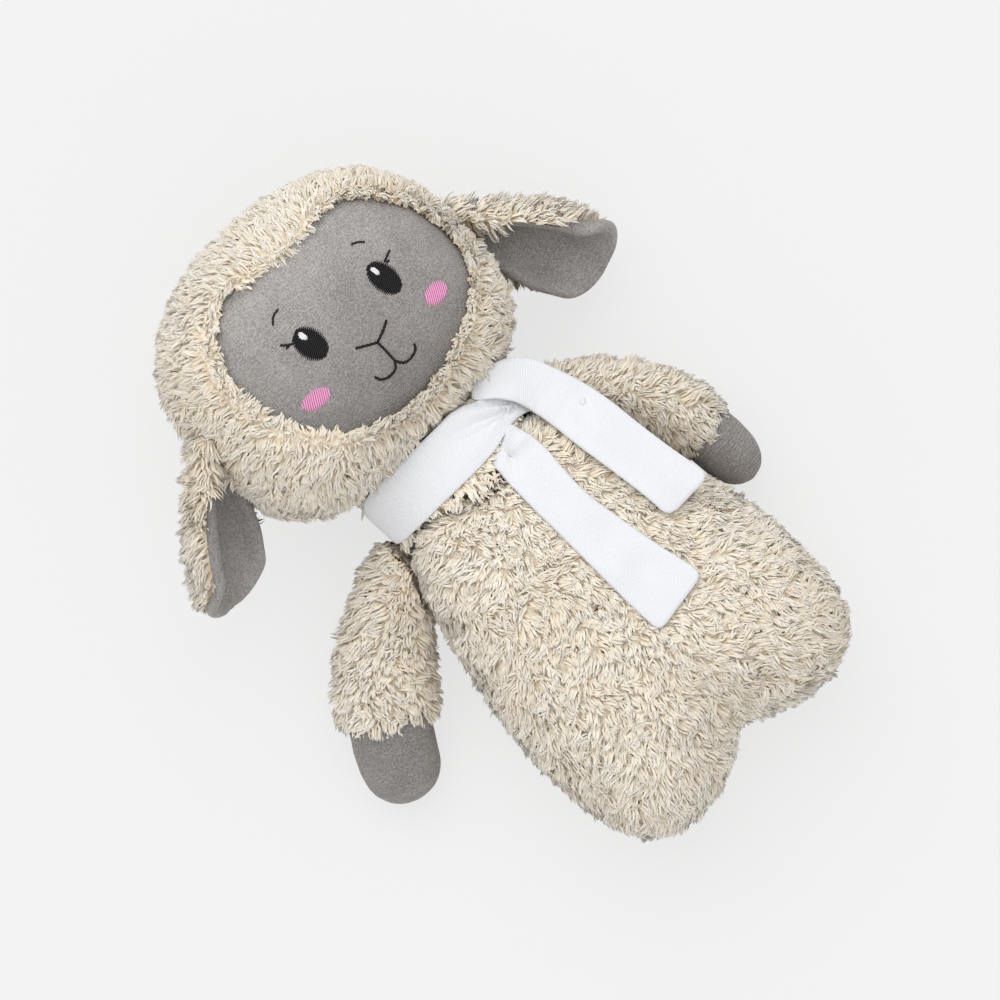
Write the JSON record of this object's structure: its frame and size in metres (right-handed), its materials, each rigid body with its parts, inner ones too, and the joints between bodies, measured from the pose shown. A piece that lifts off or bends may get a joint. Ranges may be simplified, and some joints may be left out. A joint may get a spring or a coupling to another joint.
{
  "type": "plush sheep",
  "caption": "soft stuffed sheep in curly fleece with a plain embroidered face, drooping ears, mitten hands, leg lobes and a tied scarf, lying on its back",
  "frame": {"origin": "on the flat of the torso's back where the toy lies, below the middle of the torso's width, at the toy's waist", "axes": "+Y from the legs to the top of the head, +X to the toy's own left, +Z out of the belly and up from the surface it lies on"},
  "size_m": [0.2403, 0.3206, 0.111],
  "materials": {
    "fleece": "cream curly fleece, pile about 7 mm",
    "velboa": "grey short-pile plush cloth",
    "jersey": "white fine-rib knitted jersey, doubled",
    "filling": "loose white polyester fibre filling",
    "black_thread": "black satin embroidery thread",
    "white_thread": "white satin embroidery thread",
    "pink_thread": "pink satin embroidery thread"
  },
  "bodies": {
    "torso": {"torso_front_panel": "fleece", "torso_back_panel": "fleece", "torso_filling": "filling", "scarf_band": "jersey", "scarf_crossing": "jersey", "scarf_tack": "white_thread"},
    "neck": {"neck_gusset": "fleece", "neck_filling": "filling"},
    "head": {"head_hood": "fleece", "head_back_panel": "fleece", "head_filling": "filling", "face_panel": "velboa", "nose_and_mouth": "black_thread", "right_eye": "black_thread", "right_eye_highlight": "white_thread", "right_lashes": "black_thread", "right_brow": "black_thread", "right_cheek": "pink_thread", "left_eye": "black_thread", "left_eye_highlight": "white_thread", "left_lashes": "black_thread", "left_brow": "black_thread", "left_cheek": "pink_thread"},
    "right_shoulder": {"right_shoulder_gusset": "fleece"},
    "right_arm": {"right_sleeve_front": "fleece", "right_sleeve_back": "fleece", "right_hand_front": "velboa", "right_hand_back": "velboa", "right_arm_filling": "filling"},
    "left_shoulder": {"left_shoulder_gusset": "fleece"},
    "left_arm": {"left_sleeve_front": "fleece", "left_sleeve_back": "fleece", "left_hand_front": "velboa", "left_hand_back": "velboa", "left_arm_filling": "filling"},
    "right_ear": {"right_ear_outer": "fleece", "right_ear_inner": "velboa"},
    "left_ear": {"left_ear_outer": "fleece", "left_ear_inner": "velboa"},
    "right_scarf_tail": {"scarf_right_tail": "jersey"},
    "left_scarf_tail": {"scarf_left_tail": "jersey"}
  },
  "joints": [
    {"name": "neck_nod", "type": "hinge", "parent": "torso", "child": "neck", "pos_m": [0, 0.092, 0.0445], "axis": [1, 0, 0], "range_deg": [-10, 18], "stiffness_Nm_per_rad": 0.3, "deforming": ["neck_gusset", "neck_filling", "scarf_band", "scarf_crossing", "scarf_tack"]},
    {"name": "head_turn", "type": "hinge", "parent": "neck", "child": "head", "pos_m": [0, 0.092, 0.0445], "axis": [0, 1, 0], "range_deg": [-35, 20], "stiffness_Nm_per_rad": 0.15, "deforming": ["neck_gusset", "neck_filling"]},
    {"name": "right_arm_raise", "type": "hinge", "parent": "torso", "child": "right_shoulder", "pos_m": [-0.0481, 0.073, 0.0378], "axis": [0, 0, -1], "range_deg": [0, 45], "stiffness_Nm_per_rad": 0.05, "deforming": ["right_shoulder_gusset"]},
    {"name": "right_arm_swing", "type": "hinge", "parent": "right_shoulder", "child": "right_arm", "pos_m": [-0.0481, 0.073, 0.0378], "axis": [-0.643, 0.7659, 0], "range_deg": [-10, 40], "stiffness_Nm_per_rad": 0.05, "deforming": ["right_shoulder_gusset"]},
    {"name": "left_arm_raise", "type": "hinge", "parent": "torso", "child": "left_shoulder", "pos_m": [0.0471, 0.078, 0.0383], "axis": [0, 0, 1], "range_deg": [0, 50], "stiffness_Nm_per_rad": 0.05, "deforming": ["left_shoulder_gusset"]},
    {"name": "left_arm_swing", "type": "hinge", "parent": "left_shoulder", "child": "left_arm", "pos_m": [0.0471, 0.078, 0.0383], "axis": [-0.8755, -0.4302, 0.2201], "range_deg": [0, 35], "stiffness_Nm_per_rad": 0.05, "deforming": ["left_shoulder_gusset"]},
    {"name": "right_ear_flap", "type": "hinge", "parent": "head", "child": "right_ear", "pos_m": [-0.0761, 0.1638, 0.0826], "axis": [0.0785, 0.9969, 0], "range_deg": [0, 50], "stiffness_Nm_per_rad": 0.01},
    {"name": "left_ear_flap", "type": "hinge", "parent": "head", "child": "left_ear", "pos_m": [0.0788, 0.1516, 0.0439], "axis": [-0.0785, -0.9969, 0], "range_deg": [-10, 60], "stiffness_Nm_per_rad": 0.01},
    {"name": "right_tail_lift", "type": "hinge", "parent": "torso", "child": "right_scarf_tail", "pos_m": [0.0175, 0.0768, 0.0804], "axis": [-1, 0, 0], "range_deg": [0, 70]},
    {"name": "left_tail_lift", "type": "hinge", "parent": "torso", "child": "left_scarf_tail", "pos_m": [0.051, 0.0618, 0.0761], "axis": [-0.9253, 0, 0.3791], "range_deg": [0, 70]}
  ]
}
